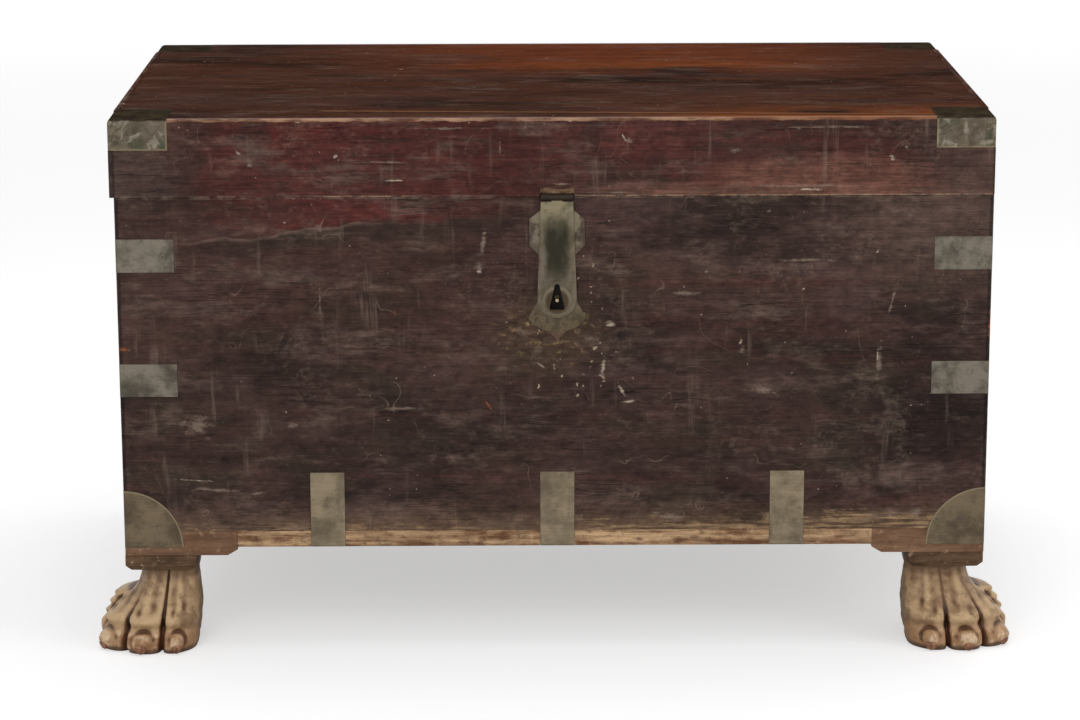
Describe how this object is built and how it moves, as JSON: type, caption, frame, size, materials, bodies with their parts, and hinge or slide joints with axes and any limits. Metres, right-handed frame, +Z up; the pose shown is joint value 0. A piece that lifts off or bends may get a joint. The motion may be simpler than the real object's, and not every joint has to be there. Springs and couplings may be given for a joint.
{
  "type": "sea chest",
  "caption": "Flat-lidded wooden sea chest with let-in brass corners and straps, hasp lock, side bails, inner till and carved paw feet.",
  "frame": {"origin": "on the floor, under the middle of the chest's footprint", "axes": "+X to the right along the front, +Y from the front to the back, +Z up; the front with the lock faces -Y"},
  "size_m": [1.1126, 0.6864, 0.6523],
  "materials": {
    "old_paint": "old dark red-brown paint and wax over wood, grained, scuffed, semi-matt",
    "worn_wood": "bare worn wood edge, matt",
    "bare_wood": "unpainted brown wood, matt",
    "limed_wood": "carved pale wood with brown in the hollows, semi-matt",
    "dull_brass": "old brass gone grey-olive, dull",
    "bright_brass": "brass, satin where parts rub"
  },
  "bodies": {
    "carcase": {"front_board": "old_paint", "back_board": "old_paint", "left_board": "old_paint", "right_board": "old_paint", "bottom_board": "worn_wood", "upper_strap_front_left": "dull_brass", "upper_strap_front_right": "dull_brass", "upper_strap_rear_right": "dull_brass", "upper_strap_rear_left": "dull_brass", "lower_strap_front_left": "dull_brass", "lower_strap_front_right": "dull_brass", "lower_strap_rear_right": "dull_brass", "lower_strap_rear_left": "dull_brass", "corner_plate_front_left": "dull_brass", "corner_plate_front_right": "dull_brass", "corner_plate_rear_right": "dull_brass", "corner_plate_rear_left": "dull_brass", "edge_strap_left_front": "dull_brass", "edge_strap_left_rear": "dull_brass", "edge_strap_middle_front": "dull_brass", "edge_strap_middle_rear": "dull_brass", "edge_strap_right_front": "dull_brass", "edge_strap_right_rear": "dull_brass", "lock_plate": "dull_brass", "lock_case": "bright_brass", "left_hinge_body_leaf": "dull_brass", "left_hinge_pin": "bright_brass", "right_hinge_body_leaf": "dull_brass", "right_hinge_pin": "bright_brass", "left_handle_plate": "dull_brass", "right_handle_plate": "dull_brass", "till_bottom": "bare_wood", "till_front": "bare_wood", "foot_bracket_front_left": "bare_wood", "foot_bracket_front_right": "bare_wood", "foot_bracket_rear_right": "bare_wood", "foot_bracket_rear_left": "bare_wood", "paw_front_left": "limed_wood", "paw_front_right": "limed_wood", "paw_rear_right": "limed_wood", "paw_rear_left": "limed_wood"},
    "lid": {"lid_front_rail": "old_paint", "lid_back_rail": "old_paint", "lid_left_end": "old_paint", "lid_right_end": "old_paint", "lid_top_front_board": "old_paint", "lid_top_rear_board": "old_paint", "lid_cap_front_left": "dull_brass", "lid_cap_front_right": "dull_brass", "lid_cap_rear_right": "dull_brass", "lid_cap_rear_left": "dull_brass", "hasp_hinge_leaf": "dull_brass", "hasp_pin": "bright_brass", "left_hinge_lid_leaf": "dull_brass", "right_hinge_lid_leaf": "dull_brass"},
    "hasp": {"hasp": "dull_brass"},
    "lock_bolt": {"lock_bolt": "bright_brass"},
    "left_bail": {"left_handle_bail": "dull_brass"},
    "right_bail": {"right_handle_bail": "dull_brass"},
    "till_lid": {"till_lid": "bare_wood"}
  },
  "joints": [
    {"name": "lid_hinge", "type": "hinge", "parent": "carcase", "child": "lid", "pos_m": [0, 0.304, 0.5583], "axis": [-1, 0, 0], "range_deg": [0, 100]},
    {"name": "hasp_hinge", "type": "hinge", "parent": "lid", "child": "hasp", "pos_m": [0.003, -0.31185, 0.5573], "axis": [-1, 0, 0], "range_deg": [0, 160]},
    {"name": "bolt_slide", "type": "slide", "parent": "carcase", "child": "lock_bolt", "axis": [-1, 0, 0], "range_m": [0, 0.009]},
    {"name": "left_bail_hinge", "type": "hinge", "parent": "carcase", "child": "left_bail", "pos_m": [-0.5303, 0, 0.44], "axis": [0, 1, 0], "range_deg": [0, 90]},
    {"name": "right_bail_hinge", "type": "hinge", "parent": "carcase", "child": "right_bail", "pos_m": [0.5303, 0, 0.44], "axis": [0, -1, 0], "range_deg": [0, 90]},
    {"name": "till_lid_hinge", "type": "hinge", "parent": "carcase", "child": "till_lid", "pos_m": [-0.494, 0, 0.491], "axis": [0, -1, 0], "range_deg": [0, 90]}
  ]
}
